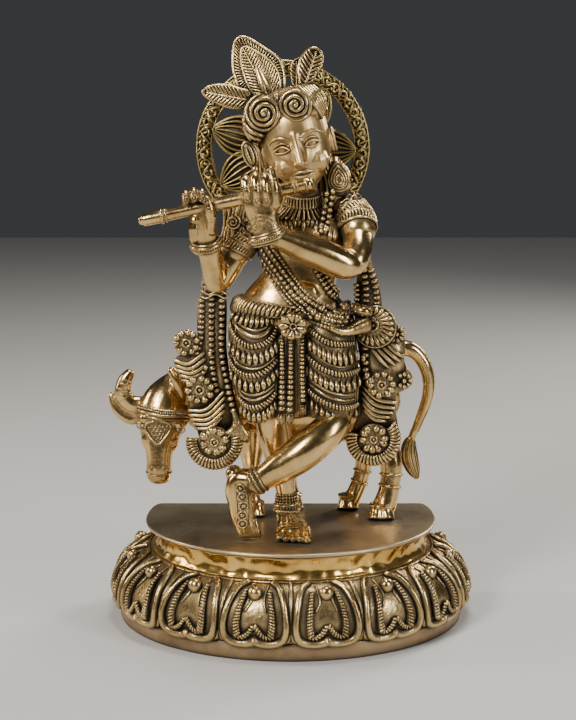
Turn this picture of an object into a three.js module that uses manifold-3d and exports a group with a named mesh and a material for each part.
// Brass temple figure: a flute player standing cross-legged before a cow, with a halo behind the
// head, on a hollow half-round lotus base. Millimetres, +Z up, the figure faces -Y.
// The origin is the middle of the footprint, on the surface that the base stands on.
import * as THREE from 'three';
import { mergeVertices } from 'three/addons/utils/BufferGeometryUtils.js';
import Module from 'manifold-3d';

const wasm = await Module();
wasm.setup();

// Driving dimensions
const backY = 64.5; // flat back of the base
const deckHalfWidth = 89.5;
const deckDepth = 117; // from the flat back to the front of the deck
const cornerDepth = 32; // the sides begin to close in this far before the back
const cornerWidth = 7;
const frontFlareShare = 0.68; // the base flares less at its front than at its sides
const footHeight = 10.6;
const skirtTop = 43.5;
const deckUnderside = 57.5;
const deckTop = 60;
const gap = 0.3; // between neighbouring castings
const outlineSteps = 28;
const cornerSteps = 4;
const haloCentre = [-4.7, 32.2, 286.6];
const haloRadius = 52;
const haloRimWidth = 10;
const haloDepth = 6;
const leafTurns = [-2, 53, 109, 165, 211, 259, 308]; // degrees from the figure's left
const fluteRadius = 3.6;
const fluteStart = [-85.5, -27.9, 248.3];
const fluteEnd = [11.2, -27.4, 269.3];
const studRadius = 2.5;
const nutAcrossCorners = 9.2;

const soleZ = deckTop + gap;
const facingFront = new THREE.Vector3(0, -1, 0);
const upwards = new THREE.Vector3(0, 0, 1);

// Finishes
const finish = {
  polished: new THREE.MeshStandardMaterial({ color: 0xcaa15c, roughness: 0.22, metalness: 1 }),
  antiqued: new THREE.MeshStandardMaterial({ color: 0xa9864a, roughness: 0.38, metalness: 1 }),
  deck: new THREE.MeshStandardMaterial({ color: 0x7d6a42, roughness: 0.35, metalness: 1 }),
  steel: new THREE.MeshStandardMaterial({ color: 0x9a9a98, roughness: 0.4, metalness: 1 }),
};

// Solids
function solidFrom(geometry) {
  geometry.deleteAttribute('normal');
  geometry.deleteAttribute('uv');
  const merged = mergeVertices(geometry, 1e-4);
  return new wasm.Manifold(new wasm.Mesh({
    numProp: 3,
    vertProperties: merged.attributes.position.array,
    triVerts: new Uint32Array(merged.index.array),
  }));
}

function geometryFrom(solid) {
  const mesh = solid.getMesh();
  const geometry = new THREE.BufferGeometry();
  geometry.setAttribute('position', new THREE.BufferAttribute(mesh.vertProperties, 3));
  geometry.setIndex(new THREE.BufferAttribute(mesh.triVerts, 1));
  geometry.computeVertexNormals();
  return geometry;
}

// Closed surface from rings of points, all with the same count, wound the same way.
// With poles, a point closes each end; without, the last ring joins the first.
function surface(rings, poles) {
  const count = rings[0].length;
  const points = rings.flat();
  const faces = [];
  const rows = poles ? rings.length - 1 : rings.length;
  for (let row = 0; row < rows; row++) {
    const here = row * count;
    const next = ((row + 1) % rings.length) * count;
    for (let i = 0; i < count; i++) {
      const j = (i + 1) % count;
      faces.push(here + i, here + j, next + j, here + i, next + j, next + i);
    }
  }
  if (poles) {
    const first = points.push(poles[0]) - 1;
    const last = points.push(poles[1]) - 1;
    const top = (rings.length - 1) * count;
    for (let i = 0; i < count; i++) {
      const j = (i + 1) % count;
      faces.push(first, j, i, last, top + i, top + j);
    }
  }
  const geometry = new THREE.BufferGeometry().setFromPoints(points);
  geometry.setIndex(faces);
  return solidFrom(geometry);
}

// A body through elliptical sections. A station is [x, y, z, half width, half depth];
// the depth lies along `depthAxis`, as nearly as the path allows.
function limb(stations, { depthAxis = facingFront, sides = 10, grow = 0, blunt = false } = {}) {
  const centres = stations.map(([x, y, z]) => new THREE.Vector3(x, y, z));
  const last = centres.length - 1;
  const along = centres.map((_, i) => (
    centres[Math.min(i + 1, last)].clone().sub(centres[Math.max(i - 1, 0)]).normalize()));
  const rings = [];
  const addRing = (i, slide, share) => {
    const across = depthAxis.clone().cross(along[i]).normalize();
    const deep = along[i].clone().cross(across).normalize();
    const centre = centres[i].clone().addScaledVector(along[i], slide);
    const [, , , halfWidth, halfDepth] = stations[i];
    rings.push(Array.from({ length: sides }, (_, k) => {
      const turn = (2 * Math.PI * k) / sides;
      return centre.clone()
        .addScaledVector(across, Math.cos(turn) * (halfWidth + grow) * share)
        .addScaledVector(deep, Math.sin(turn) * (halfDepth + grow) * share);
    }));
  };
  const dome = (i) => (blunt ? 0 : 0.5 * Math.min(stations[i][3], stations[i][4]));
  const poleShare = 1.35;
  if (!blunt) addRing(0, -grow - dome(0), 0.68);
  for (let i = 0; i <= last; i++) addRing(i, i === 0 ? -grow : i === last ? grow : 0, 1);
  if (!blunt) addRing(last, grow + dome(last), 0.68);
  return surface(rings, [
    centres[0].clone().addScaledVector(along[0], -grow - dome(0) * poleShare),
    centres[last].clone().addScaledVector(along[last], grow + dome(last) * poleShare),
  ]);
}

// An extruded outline whose X lies along `across`, whose Y lies along `lengthwise`.
function plate(shape, thickness, origin, across, lengthwise, curveSegments = 6) {
  const x = new THREE.Vector3(...across).normalize();
  const z = x.clone().cross(new THREE.Vector3(...lengthwise)).normalize();
  const y = z.clone().cross(x);
  const geometry = new THREE.ExtrudeGeometry(shape, {
    depth: thickness, bevelEnabled: false, curveSegments,
  });
  geometry.translate(0, 0, -thickness / 2);
  geometry.applyMatrix4(new THREE.Matrix4().makeBasis(x, y, z).setPosition(...origin));
  return solidFrom(geometry);
}

// A pointed oval of the given length, standing on its stalk end.
function leafShape(length, width) {
  const half = width / 2;
  const shape = new THREE.Shape();
  shape.moveTo(-half * 0.35, 0);
  shape.quadraticCurveTo(-half * 1.25, length * 0.45, -half * 0.16, length);
  shape.lineTo(half * 0.16, length);
  shape.quadraticCurveTo(half * 1.25, length * 0.45, half * 0.35, 0);
  return shape;
}

function leaf(from, to, width, thickness, grow = 0) {
  const lengthwise = [to[0] - from[0], to[1] - from[1], to[2] - from[2]];
  const length = Math.hypot(...lengthwise);
  const across = new THREE.Vector3(...lengthwise).cross(facingFront).toArray();
  return plate(leafShape(length + grow, width + 2 * grow), thickness + 2 * grow,
    from, across, lengthwise);
}

// A round boss facing the front.
function disc([x, y, z], radius, thickness, grow = 0, sides = 16) {
  const geometry = new THREE.CylinderGeometry(
    radius + grow, (radius + grow) * 0.86, thickness + 2 * grow, sides);
  geometry.translate(x, y, z);
  return solidFrom(geometry);
}

// A round band about a limb: a turned ring whose axis runs along `axis`.
function bangle(centre, axis, innerRadius, outerRadius, height, grow = 0) {
  const low = -height / 2 - grow;
  const high = height / 2 + grow;
  const inner = innerRadius - grow;
  const outer = outerRadius + grow;
  const bulge = outer * 0.9;
  const profile = [[inner, low], [bulge, low], [outer, low / 2], [outer, high / 2],
    [bulge, high], [inner, high], [inner, low]].map(([r, h]) => new THREE.Vector2(r, h));
  const geometry = new THREE.LatheGeometry(profile, 14);
  const turn = new THREE.Quaternion().setFromUnitVectors(
    new THREE.Vector3(0, 1, 0), new THREE.Vector3(...axis).normalize());
  geometry.applyQuaternion(turn);
  geometry.translate(...centre);
  return solidFrom(geometry);
}

// A rod standing upright between two heights.
function rod([x, y], radius, low, high, sides = 12, grow = 0) {
  const geometry = new THREE.CylinderGeometry(radius + grow, radius + grow, high - low, sides);
  geometry.rotateX(Math.PI / 2);
  geometry.translate(x, y, (low + high) / 2);
  return solidFrom(geometry);
}

// Everything under the soles, to trim what stands on the deck.
const belowSoles = () => rod([0, 0], 150, deckUnderside, soleZ);

// The half-round base
// Half an ellipse in front, then corners that close in towards a straight back. A positive offset
// flares the front and sides only.
function baseOutline(offset, backInset) {
  const halfWidth = deckHalfWidth + offset;
  const middleY = backY - cornerDepth;
  const frontDepth = deckDepth - cornerDepth + frontFlareShare * offset;
  const points = [];
  const corner = (side, i) => {
    const turn = (Math.PI * i) / (2 * cornerSteps);
    points.push([side * (halfWidth - cornerWidth * (1 - Math.cos(turn))),
      middleY + (cornerDepth - backInset) * Math.sin(turn)]);
  };
  for (let i = cornerSteps; i > 0; i--) corner(-1, i);
  for (let i = 0; i <= outlineSteps; i++) {
    const turn = (Math.PI * i) / outlineSteps;
    points.push([-halfWidth * Math.cos(turn), middleY - frontDepth * Math.sin(turn)]);
  }
  for (let i = 1; i <= cornerSteps; i++) corner(1, i);
  return points;
}

// A hollow ring whose section is a closed profile of [offset, height, inset of the back].
function baseRing(profile) {
  return surface(profile.map(([offset, z, inset]) => (
    baseOutline(offset, inset).map(([x, y]) => new THREE.Vector3(x, y, z)))), null);
}

const footRing = () => baseRing([
  [16, 0, 0], [16.4, 2, 0], [16.4, footHeight - 2, 0], [15.4, footHeight, 0],
  [7.5, footHeight, 7], [7.5, 0, 7],
]);

const lotusSkirt = () => baseRing([
  [17, footHeight + gap, 0], [19, 18, 0], [17.8, 25, 0], [13.6, 33, 0], [6, 39.5, 0],
  [-2.5, skirtTop - 0.6, 0], [-4, skirtTop, 2], [-9.5, skirtTop, 8], [1, 33, 8],
  [8.5, footHeight + gap, 8],
]);

const waistBand = () => baseRing([
  [-5, skirtTop + gap, 4], [-7, skirtTop + 6, 5], [-5, deckUnderside - gap, 4],
  [-10, deckUnderside - gap, 9], [-11, skirtTop + gap, 9],
]);

const figureStudAt = [1, -9];
const cowStudsAt = { front: [-22.4, 31], rear: [55, 24.5] };

function deckPlate() {
  const shape = new THREE.Shape(baseOutline(0, 0).map(([x, y]) => new THREE.Vector2(x, y)));
  for (const [x, y] of [figureStudAt, ...Object.values(cowStudsAt)]) {
    const hole = new THREE.Path();
    hole.absarc(x, y, studRadius + gap, 0, 2 * Math.PI, true);
    shape.holes.push(hole);
  }
  return plate(shape, deckTop - deckUnderside, [0, 0, (deckTop + deckUnderside) / 2],
    [1, 0, 0], [0, 1, 0]);
}

const stud = (at) => (grow = 0) => rod(at, studRadius, 49.5, 63.5 + grow, 12, grow);

function nut([x, y]) {
  const hexagon = new THREE.Shape();
  hexagon.absarc(0, 0, nutAcrossCorners / 2, 0, 2 * Math.PI);
  const hole = new THREE.Path();
  hole.absarc(0, 0, studRadius + gap, 0, 2 * Math.PI, true);
  hexagon.holes.push(hole);
  const height = 4;
  return plate(hexagon, height, [x, y, deckUnderside - gap - height / 2], [1, 0, 0], [0, 1, 0], 6);
}

// The cow
const sidewaysSections = { depthAxis: upwards };

const cowBody = (grow = 0) => limb([
  [-61.1, 32.2, 132.3, 8.1, 12.2], [-48.9, 36.3, 127.2, 10.7, 16.3],
  [-34.6, 39.3, 126.2, 14.3, 21.4], [-16.3, 40.4, 128.3, 16.3, 24.4],
  [8.2, 41.4, 128.3, 17.3, 24.4], [32.6, 41.4, 130.3, 17.3, 25], [48.9, 40.4, 135.4, 15.8, 22.4],
  [58.1, 40.4, 138.4, 11.7, 16.8],
], { ...sidewaysSections, grow, sides: 12 });

const cowHead = (grow = 0) => limb([
  [-72.3, 27.1, 146.6, 9.2, 7.1], [-74.3, 23, 137.4, 15.8, 10.7], [-77.4, 19, 124.2, 16.3, 12.2],
  [-79.9, 14.9, 108.9, 10.7, 10.2], [-81, 11.8, 96.7, 6.9, 8.1], [-81.3, 9.8, 89.5, 7.3, 7.6],
], { grow, sides: 12 });

const cowHorn = {
  left: [[-91.7, 21, 132.3, 3.7, 3.3], [-98.8, 21.5, 134.9, 3.9, 3.3], [-100.4, 22, 142.5, 3.9, 3.3],
    [-96.7, 23, 150.3, 2.4, 2.2]],
  right: [[-67.7, 28.1, 145.6, 3.5, 3.3], [-70.8, 28.1, 150.7, 3.1, 3.1], [-72.8, 28.1, 155.3, 2, 2]],
};
const cowEar = {
  left: [[-91.7, 23, 126.7, 3.3, 3.1], [-101.8, 24.1, 127.2, 4.9, 2.9], [-109.2, 25.1, 137.4, 2, 1.8]],
  right: [[-64.1, 25.1, 147.6, 2, 2], [-61.1, 21, 142.5, 3.7, 2.6], [-59.5, 17.9, 135.4, 1.8, 1.6]],
};

const cowLeg = {
  front_near: [[-24.4, 34.2, 107.9, 9.2, 8.1], [-24.4, 33.2, 87.5, 5.6, 5.6],
    [-23.4, 32.2, 73.2, 4.7, 4.9],
    [-22.4, 31.2, 60, 6.7, 7.1]],
  front_far: [[-4, 50.5, 107.9, 9.2, 7.1], [-2, 50.5, 87.5, 5.6, 5.6], [0, 50.5, 73.2, 4.7, 4.9],
    [1.1, 49.5, 60, 6.7, 7.1]],
  rear_near: [[55, 34.2, 124.2, 9.2, 8.1], [60.1, 31.2, 103.8, 7.5, 7.1], [61.2, 28.6, 85.5, 6.3, 6.1],
    [59.1, 26.1, 71.2, 6.5, 6.1], [55, 24.6, 60, 7.9, 8.1]],
  rear_far: [[44.9, 50.5, 116, 9.2, 7.1], [46.9, 51.6, 99.7, 6.6, 6.1], [44.9, 50.5, 81.4, 5.5, 5.5],
    [39.8, 49.5, 69.2, 5.3, 5.5], [36.2, 48.5, 60, 6.9, 7.1]],
};

const cowTail = (grow = 0) => limb([
  [61.2, 43.4, 159.8, 5.6, 4.9], [71.3, 43.9, 163.3, 4.9, 4.5], [81, 44.4, 156.3, 4.3, 4.1],
  [85, 44.4, 143.5, 3.9, 3.9], [83.6, 44.4, 130.8, 3.5, 3.5], [78.1, 44.4, 115.5, 3.1, 3.1],
  [75, 44.4, 105.8, 3.1, 3.1],
  [75.6, 44.4, 93.6, 4.7, 3.9], [78.3, 44.4, 82.9, 2, 2],
], { grow, sides: 8 });

// The standing figure
const torso = (grow = 0) => limb([
  [1.6, -1.4, 194.5, 27.5, 14.3], [2.6, -1.4, 201.6, 23.9, 12.7], [5.1, -0.9, 210.8, 22.4, 12.2],
  [6.1, -0.4, 221, 22.9, 12.2],
  [6.7, 0.6, 232.2, 27, 13.2], [7.2, 1.6, 241.3, 29.5, 13.8], [7.2, 2.7, 248.5, 22.4, 11.2],
  [7.2, 1.6, 254.6, 10.7, 9.2],
  [6.7, 0.6, 260.7, 9.2, 9.2],
], { grow, sides: 14, blunt: true });

const head = (grow = 0) => limb([
  [9.2, -9.6, 266.3, 9.2, 8.1], [7.4, -7.5, 271.9, 15.8, 14.3], [3.1, -5, 283.1, 21.9, 19.9],
  [-1.5, -2.9, 293.3, 22.9, 20.9], [-3.4, -2.1, 298.9, 22.4, 20.9],
], { grow, sides: 16 });

const hairCap = (grow = 0) => limb([
  [-3.6, -1.9, 299.7, 24.4, 22.9], [-6.1, -0.9, 308.6, 21.9, 20.9], [-8.1, 0, 314.7, 15.3, 15.3],
  [-9.1, 0.6, 317.7, 9.2, 9.2],
], { grow, sides: 16, blunt: true });

const hairBack = (grow = 0) => limb([
  [-5.1, 15.9, 303.5, 17.3, 8.1], [-1, 18.4, 287.2, 20.4, 8.7], [4.1, 19, 266.8, 22.4, 8.1],
  [6.1, 19.5, 248.5, 21.4, 7.6],
  [7.2, 19.5, 236.2, 13.2, 5.6],
], { grow, sides: 12 });

const sideLock = (grow = 0) => limb([
  [25.5, 5.7, 288.2, 3.6, 4.1], [29.6, 4.7, 278, 7.6, 6.1], [31.6, 4.7, 267.8, 8.7, 6.6],
  [33.6, 4.7, 258.7, 5.1, 5.1],
], { grow });

const feathers = {
  centre: { from: [-7.6, -0.4, 318.3], to: [-29.9, 4.7, 349.5], width: 33 },
  left: { from: [-24.4, -3.5, 311.1], to: [-49.9, -2.4, 320.8], width: 14 },
  right: { from: [5.1, -1.4, 317.2], to: [15.3, 1.6, 343.2], width: 22 },
};
const featherThickness = 4;

function haloRing() {
  const shape = new THREE.Shape();
  shape.absarc(0, 0, haloRadius, 0, 2 * Math.PI);
  const hole = new THREE.Path();
  hole.absarc(0, 0, haloRadius - haloRimWidth, 0, 2 * Math.PI, true);
  shape.holes.push(hole);
  return plate(shape, haloDepth, haloCentre, [1, 0, 0], [0, 0, 1], 34);
}

// Leaves that stand round a hub behind the head and reach the rim.
function haloLeaves() {
  const [x, y, z] = haloCentre;
  const hubRadius = 21;
  const tip = haloRadius - haloRimWidth - gap;
  let whole = disc([x, y - 2, z], hubRadius, 8, 0, 18); // reaches forward to the back of the hair
  for (const turn of leafTurns.map(THREE.MathUtils.degToRad)) {
    const [dx, dz] = [Math.cos(turn), Math.sin(turn)];
    whole = whole.add(leaf([x + 12 * dx, y, z + 12 * dz], [x + tip * dx, y, z + tip * dz], 21, 3));
  }
  return whole;
}

const collar = (grow = 0) => limb([
  [7.2, 0.1, 249, 20.4, 17.3], [7.2, 0.1, 253, 16.8, 15.3], [7.2, -0.4, 257.1, 12.2, 12.2],
], { grow, sides: 14, blunt: true });

const leftSleeve = (grow = 0) => limb([
  [32.1, 3.7, 250.5, 9.2, 9.7], [36.7, 0.6, 246.9, 10.7, 11.2], [38.7, -6.5, 240.8, 10.7, 10.7],
], { grow });
const leftArm = (grow = 0) => limb([
  [38.2, -7.5, 238.3, 8.4, 8.4], [36.7, -16.7, 230.6, 8.6, 8.6], [33.1, -23.8, 225.5, 8.1, 8.1],
], { grow }).add(limb([
  [32.6, -24.8, 225, 8.6, 9], [18.4, -28.9, 229.6, 8.6, 9], [4.1, -32.5, 235.2, 7.3, 7.5],
  [-6.1, -35, 239.3, 5.7, 5.9],
], { ...sidewaysSections, grow }));
const leftHand = (grow = 0) => limb([
  [-12.2, -36.1, 244.4, 5.5, 4.7], [-14.7, -37.1, 252.5, 8.1, 4.9], [-16.3, -37.1, 261.7, 9.8, 5.1],
  [-17.3, -34.5, 269.9, 8.8, 5.5],
], { grow }).add(limb([[-9.6, -36.1, 262.7, 3.1, 3.1],
[-9.6, -33.5, 278, 2.6, 2.9]], { grow, sides: 8 }));

const rightSleeve = (grow = 0) => limb([
  [-20.3, 3.7, 244.4, 9.2, 10.2], [-27.5, 2.7, 237.3, 10.7, 11.2], [-33.6, 0.6, 226.1, 10.2, 10.7],
], { grow });
const rightArm = (grow = 0) => limb([
  [-32.6, 0.6, 227.1, 8.4, 8.8], [-37.7, -1.9, 216.9, 8.4, 8.6], [-40.2, -3.5, 210.3, 7.1, 7.1],
], { grow }).add(limb([
  [-40.7, -4.5, 210.3, 7.1, 6.7], [-43.8, -12.6, 222, 7.1, 6.7], [-46.8, -20.3, 233.2, 5.5, 5.3],
], { grow }));
const rightHand = (grow = 0) => limb([
  [-47.3, -21.8, 238.3, 5.3, 5.1], [-48.4, -24.3, 246.4, 7.9, 5.5], [-49.9, -27.4, 254.6, 9, 6.1],
  [-51.4, -29.9, 262.2, 9.2, 5.7],
], { grow });

const flute = (grow = 0) => limb([
  [...fluteStart, fluteRadius, fluteRadius], [...fluteEnd, fluteRadius + 0.4, fluteRadius + 0.4],
], { ...sidewaysSections, grow, sides: 12 });

const dhoti = (grow = 0) => limb([
  [0, -1.4, 189.9, 32.6, 17.8], [1.1, -2.4, 181.2, 36.7, 20.9], [3.1, -2.4, 162.9, 36.2, 21.9],
  [5.6, -2.4, 143.5, 32.1, 21.4], [7.7, -2.4, 127.2, 27.5, 19.4],
], { grow, sides: 16, blunt: true });
const waistBelt = (grow = 0) => limb([
  [0, -1.9, 190.6, 34.1, 19.4], [0, -1.9, 194.5, 33.6, 18.8], [0.5, -1.9, 198, 29.5, 16.8],
], { grow, sides: 16, blunt: true });
const apron = (grow = 0) => limb([
  [4.6, -25.1, 181.2, 8.7, 2.6], [4.6, -25.9, 162.9, 8.7, 2.6], [4.6, -25.4, 143.5, 8.7, 2.6],
  [3.1, -23.3, 129.3, 7.1, 2.4],
], { grow, sides: 8, blunt: true });

const standingLeg = (grow = 0) => limb([
  [-2, -3.5, 75.3, 6.1, 6.5], [-3, -2.4, 85.5, 5.7, 5.9], [-6.1, -0.9, 103.8, 8.8, 9.2],
  [-9.1, -1.4, 122.1, 9.8, 10.2],
  [-11.2, -2.4, 132.3, 10.7, 11.2],
], { grow });
const standingFoot = (grow = 0) => limb([
  [-2.5, 0.6, 67.3, 6.7, 5.7], [-1, -6.5, 69, 7.7, 7.1], [2.1, -16.7, 66.4, 9.2, 5.1],
  [4.6, -25.9, 64.5, 9.4, 3.8],
], { ...sidewaysSections, grow });

const crossingLeg = (grow = 0) => limb([
  [30.6, -25.4, 133.3, 9.2, 9.2], [24.5, -26.9, 127.7, 9.6, 9.6], [8.2, -27.4, 116, 9.2, 9.2],
  [-8.1, -26.9, 104.3, 7.5, 7.5],
  [-20.3, -25.9, 96.2, 5.9, 5.9],
], { grow });
const crossingFoot = (grow = 0) => limb([
  [-31.5, -21.8, 100.7, 5.5, 5.1], [-29, -22.3, 92.6, 9, 7.1], [-28, -21.8, 82.4, 8.4, 6.9],
  [-27, -21.8, 72.2, 6.9, 5.9], [-23.9, -21.3, 63.7, 4.9, 4.1],
], { grow });

const garland = (grow = 0) => limb([
  [-20.3, -13.1, 243.4, 3.3, 3.1], [-15.2, -17.7, 224, 3.3, 3.1], [-9.1, -19.8, 211.8, 3.7, 3.3],
  [4.1, -26.9, 196.5, 4.1, 3.7], [20.4, -28.4, 186.3, 4.1, 3.7], [36.7, -24.8, 181.7, 4.1, 3.7],
], { grow, sides: 8 }).add(limb([
  [24.5, -14.7, 226.1, 2.9, 2.9], [23.5, -17.7, 209.8, 3.1, 3.1], [28.6, -23.8, 194.5, 3.3, 3.3],
  [38.7, -24.3, 184.3, 3.7, 3.5],
], { grow, sides: 8 }));

const leftSash = (grow = 0) => limb([
  [-43.8, -0.4, 205.7, 5.6, 3.1], [-45.3, -1.4, 192.4, 8.1, 3.1], [-51.9, -1.9, 178.2, 13.2, 3.3],
  [-49.9, -1.9, 161.9, 13.2, 3.3], [-46.3, -2.4, 146.6, 14.8, 3.3], [-42.8, -2.4, 131.3, 12.7, 3.3],
  [-42.2, -2.4, 116, 13.2, 3.3], [-42.2, -2.4, 104.8, 8.1, 3.1],
], { grow, sides: 8 });
const rightSash = (grow = 0) => limb([
  [41.3, 1.6, 226.1, 3.6, 3.1], [43.8, 0.6, 211.8, 6.6, 3.1], [46.9, -1.4, 196.5, 8.1, 3.6],
  [51, -2.4, 177.2, 10.7, 3.6],
  [53, -1.9, 156.8, 12.2, 3.6], [51, -1.9, 139.5, 10.7, 3.6], [47.9, -1.9, 120.1, 12.7, 3.3],
  [47.4, -1.9, 105.8, 9.2, 3.1],
], { grow, sides: 8 });

// Flowers on the sashes, and their radii.
const rosettes = {
  left_rosette_top: [[-61.2, -7.3, 175.3], 8.8], left_rosette_middle: [[-53.6, -7.8, 147.6], 10.0],
  left_rosette_bottom: [[-45.0, -7.8, 116.0], 15.6], hip_rosette: [[47.5, -9.1, 185.7], 11.8],
  right_rosette_middle: [[53.4, -7.8, 150.7], 10.5], right_rosette_bottom: [[47.6, -7.5, 116], 15.2],
};
const rosetteThickness = 4.6;

// Assembly
const statue = new THREE.Group();

// Adds a casting, cut clear of the neighbours that it meets; the largest body is kept.
function add(name, material, solid, neighbours = []) {
  for (const neighbour of neighbours) solid = solid.subtract(neighbour(gap));
  const [largest] = solid.decompose().sort((a, b) => b.volume() - a.volume());
  const mesh = new THREE.Mesh(geometryFrom(largest), material);
  mesh.name = name;
  statue.add(mesh);
}

add('base_foot', finish.deck, footRing());
add('lotus_skirt', finish.antiqued, lotusSkirt());
add('base_waist', finish.polished, waistBand());
add('deck_plate', finish.deck, deckPlate());

const studs = { figure: stud(figureStudAt), cow_front: stud(cowStudsAt.front),
  cow_rear: stud(cowStudsAt.rear) };
add('figure_stud', finish.steel, studs.figure());
add('figure_nut', finish.steel, nut(figureStudAt));
for (const [end, at] of Object.entries(cowStudsAt)) {
  add(`cow_stud_${end}`, finish.steel, studs[`cow_${end}`]());
  add(`cow_nut_${end}`, finish.steel, nut(at));
}

add('cow_body', finish.polished, cowBody());
add('cow_head', finish.polished, cowHead(), [cowBody]);
for (const side of ['left', 'right']) {
  add(`cow_horn_${side}`, finish.polished, limb(cowHorn[side], { sides: 8 }), [cowHead, cowBody]);
  const horn = (grow) => limb(cowHorn[side], { grow, sides: 8 });
  add(`cow_ear_${side}`, finish.polished, limb(cowEar[side], { sides: 8 }),
    [cowHead, cowBody, horn]);
}
const legStuds = { front_near: [studs.cow_front], rear_near: [studs.cow_rear] };
for (const [place, stations] of Object.entries(cowLeg)) {
  add(`cow_leg_${place}`, finish.polished, limb(stations, { blunt: true }),
    [cowBody, belowSoles, ...(legStuds[place] ?? [])]);
}
add('cow_tail', finish.polished, cowTail(), [cowBody]);

add('torso', finish.polished, torso(), [head]);
add('waist_belt', finish.antiqued, waistBelt(), [torso]);
add('dhoti', finish.antiqued, dhoti(), [torso, waistBelt]);
const beltRosette = (grow = 0) => disc([2.3, -24.3, 189.4], 9.4, 5, grow);
add('belt_rosette', finish.antiqued, beltRosette(), [dhoti, waistBelt]);
add('apron_strands', finish.antiqued, apron(), [dhoti, beltRosette]);

add('standing_leg', finish.polished, standingLeg(), [dhoti, standingFoot]);
add('standing_foot', finish.antiqued, standingFoot(), [studs.figure]);
add('standing_anklet', finish.antiqued, bangle([-2.6, -2.9, 82.4], [0, 0, 1], 6.2, 9, 6),
  [standingLeg]);
add('crossing_leg', finish.polished, crossingLeg(), [dhoti, crossingFoot, apron]);
add('crossing_foot', finish.antiqued, crossingFoot());
add('crossing_anklet', finish.antiqued,
  bangle([-17.8, -26.1, 97.9], [12, 0.7, 8], 6.6, 9.2, 6.4), [crossingLeg, crossingFoot]);

add('head', finish.polished, head());
add('hair_cap', finish.antiqued, hairCap(), [head]);
add('hair_back', finish.antiqued, hairBack(), [head, torso, hairCap]);
add('side_lock', finish.antiqued, sideLock(), [head, hairBack, leftSleeve]);
for (const [side, { from, to, width }] of Object.entries(feathers)) {
  add(`feather_${side}`, finish.antiqued, leaf(from, to, width, featherThickness), [hairCap, head]);
}
add('halo_ring', finish.antiqued, haloRing(), [hairBack]);
add('halo_leaves', finish.antiqued, haloLeaves(), [hairBack]);
add('collar', finish.antiqued, collar(), [torso, head, hairBack]);

add('flute', finish.polished, flute(), [head]);
add('left_sleeve', finish.antiqued, leftSleeve(), [torso, hairBack, collar]);
add('left_arm', finish.polished, leftArm(), [leftSleeve, torso]);
const leftBangle = (grow = 0) => bangle([-10.7, -35.6, 241.7], [-0.55, -0.15, 1], 6.4, 9, 6, grow);
add('left_bracelet', finish.antiqued, leftBangle(), [leftArm, leftHand]);
add('left_hand', finish.polished, leftHand(), [leftArm, flute]);
add('right_sleeve', finish.antiqued, rightSleeve(), [torso, hairBack, collar]);
add('right_arm', finish.polished, rightArm(), [rightSleeve, torso]);
const rightBangle = (grow = 0) => bangle([-47, -21.1, 235.6], [-0.1, -0.3, 1], 5.8, 8.4, 5.6, grow);
add('right_bracelet', finish.antiqued, rightBangle(), [rightArm, rightHand]);
add('right_hand', finish.polished, rightHand(), [rightArm, flute]);

add('left_sash', finish.antiqued, leftSash(), [dhoti, rightArm, cowHead]);
add('right_sash', finish.antiqued, rightSash(), [dhoti, leftArm, leftSleeve, waistBelt]);
const rosette = (name) => (grow = 0) => disc(...rosettes[name], rosetteThickness, grow);
const sashOf = (name) => (name.startsWith('left') ? leftSash : rightSash);
for (const name of Object.keys(rosettes)) {
  add(name, finish.antiqued, rosette(name)(), [dhoti, sashOf(name), crossingLeg]);
}
add('garland', finish.antiqued, garland(), [torso, leftArm, dhoti, waistBelt, beltRosette,
  rosette('hip_rosette'), rightSash, apron, collar, leftSleeve, rightSleeve]);

export default statue;
